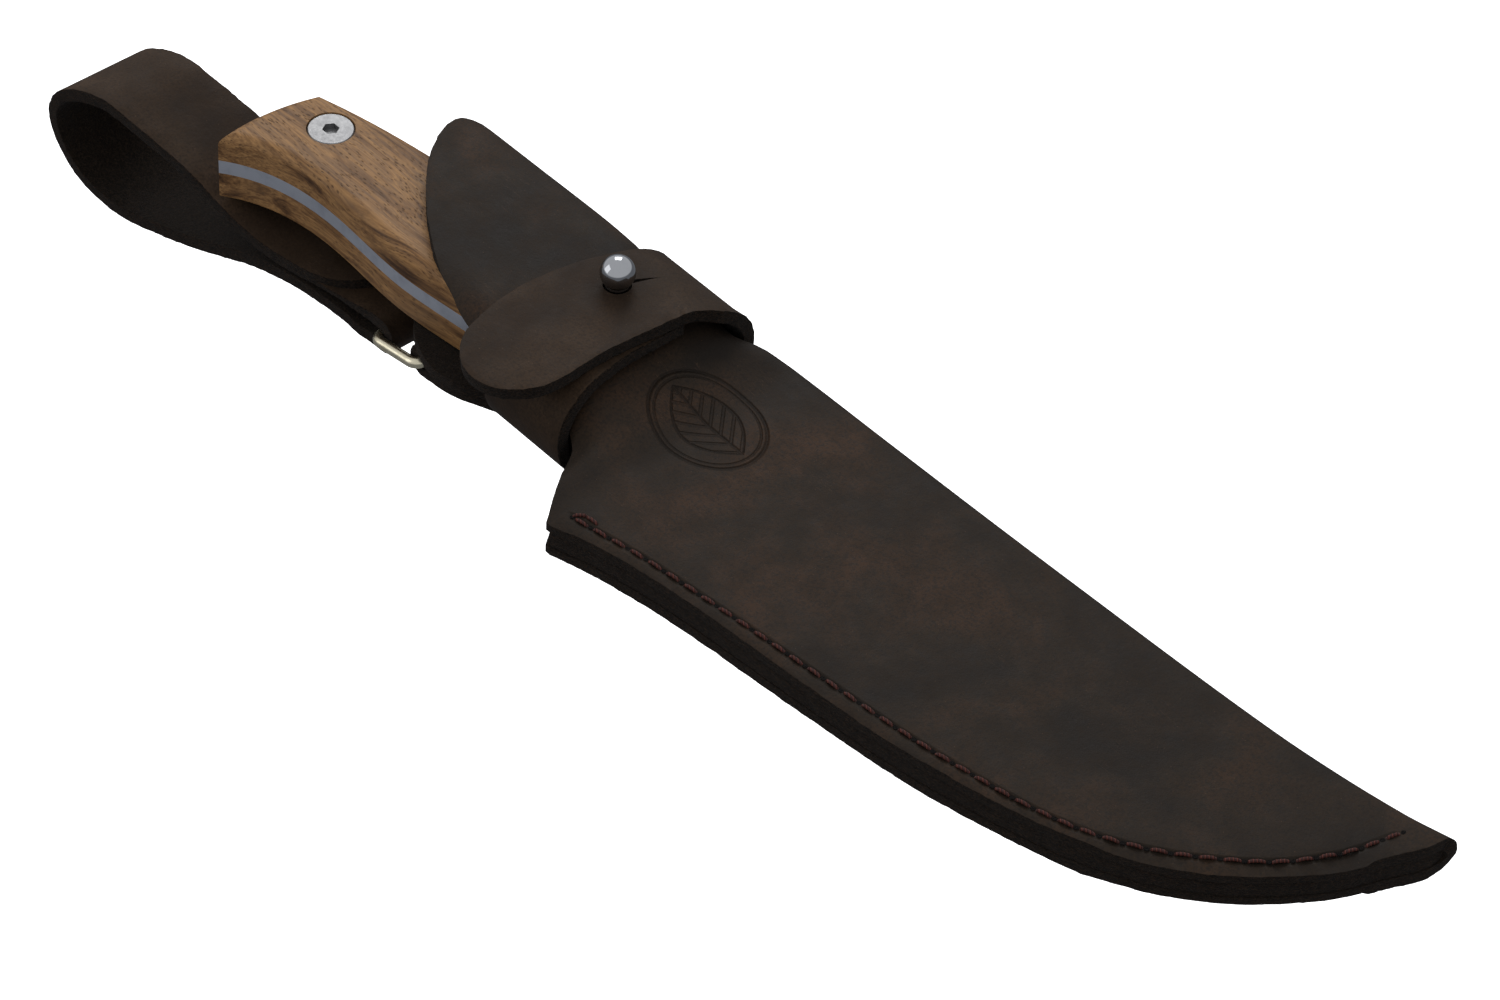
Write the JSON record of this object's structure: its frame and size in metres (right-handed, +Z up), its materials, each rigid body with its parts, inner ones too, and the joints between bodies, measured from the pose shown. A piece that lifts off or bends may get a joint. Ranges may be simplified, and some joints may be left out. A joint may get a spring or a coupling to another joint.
{
  "type": "sheathed field knife",
  "caption": "Full-tang field knife with walnut scales in a folded dark leather sheath, with a button-stud retention strap and a ring-hung belt loop.",
  "frame": {"origin": "middle of the flat toe of the hanger tab, where the sheathed knife stands on the table", "axes": "+X along the knife towards its point, +Y towards the spine of the blade and the fold of the sheath, +Z up, away from the table"},
  "size_m": [0.3427, 0.0778, 0.0446],
  "materials": {
    "blade_steel": "satin",
    "bolt_steel": "satin",
    "walnut": "oiled",
    "sheath_leather": "oiled matte",
    "strap_leather": "oiled matte",
    "edge_leather": "burnished edge",
    "waxed_thread": "waxed",
    "chrome": "polished",
    "pale_brass": "polished"
  },
  "bodies": {
    "sheath": {"sheath_leather": "sheath_leather", "welt": "edge_leather", "seam_thread": "waxed_thread", "retention_strap": "strap_leather", "ball_stud": "chrome", "stud_screw": "chrome", "hanger_tab": "strap_leather", "tab_rivets": "pale_brass"},
    "knife": {"blade": "blade_steel", "front_scale": "walnut", "back_scale": "walnut", "pommel_screw": "bolt_steel", "pommel_sleeve_nut": "bolt_steel", "guard_screw": "bolt_steel", "guard_sleeve_nut": "bolt_steel"},
    "strap_flap": {"strap_button_end": "strap_leather"},
    "hanger_ring": {"hanger_ring": "pale_brass"},
    "belt_loop": {"belt_loop": "strap_leather", "loop_rivet": "pale_brass"}
  },
  "joints": [
    {"name": "knife_draw", "type": "slide", "parent": "sheath", "child": "knife", "axis": [-0.9971, 0, 0.0767], "range_m": [0, 0.2], "deforming": ["belt_loop"]},
    {"name": "strap_unbutton", "type": "hinge", "parent": "sheath", "child": "strap_flap", "pos_m": [-0.00742, 0.0215, 0.03508], "axis": [-0.9971, 0, 0.0767], "range_deg": [0, 120]},
    {"name": "ring_swing", "type": "hinge", "parent": "sheath", "child": "hanger_ring", "pos_m": [-0.04829, 0, 0.0058], "axis": [0, -1, 0], "range_deg": [0, 90]},
    {"name": "belt_loop_swing", "type": "hinge", "parent": "hanger_ring", "child": "belt_loop", "pos_m": [-0.06222, 0, 0.00441], "axis": [0, -1, 0], "range_deg": [0, 80]}
  ]
}
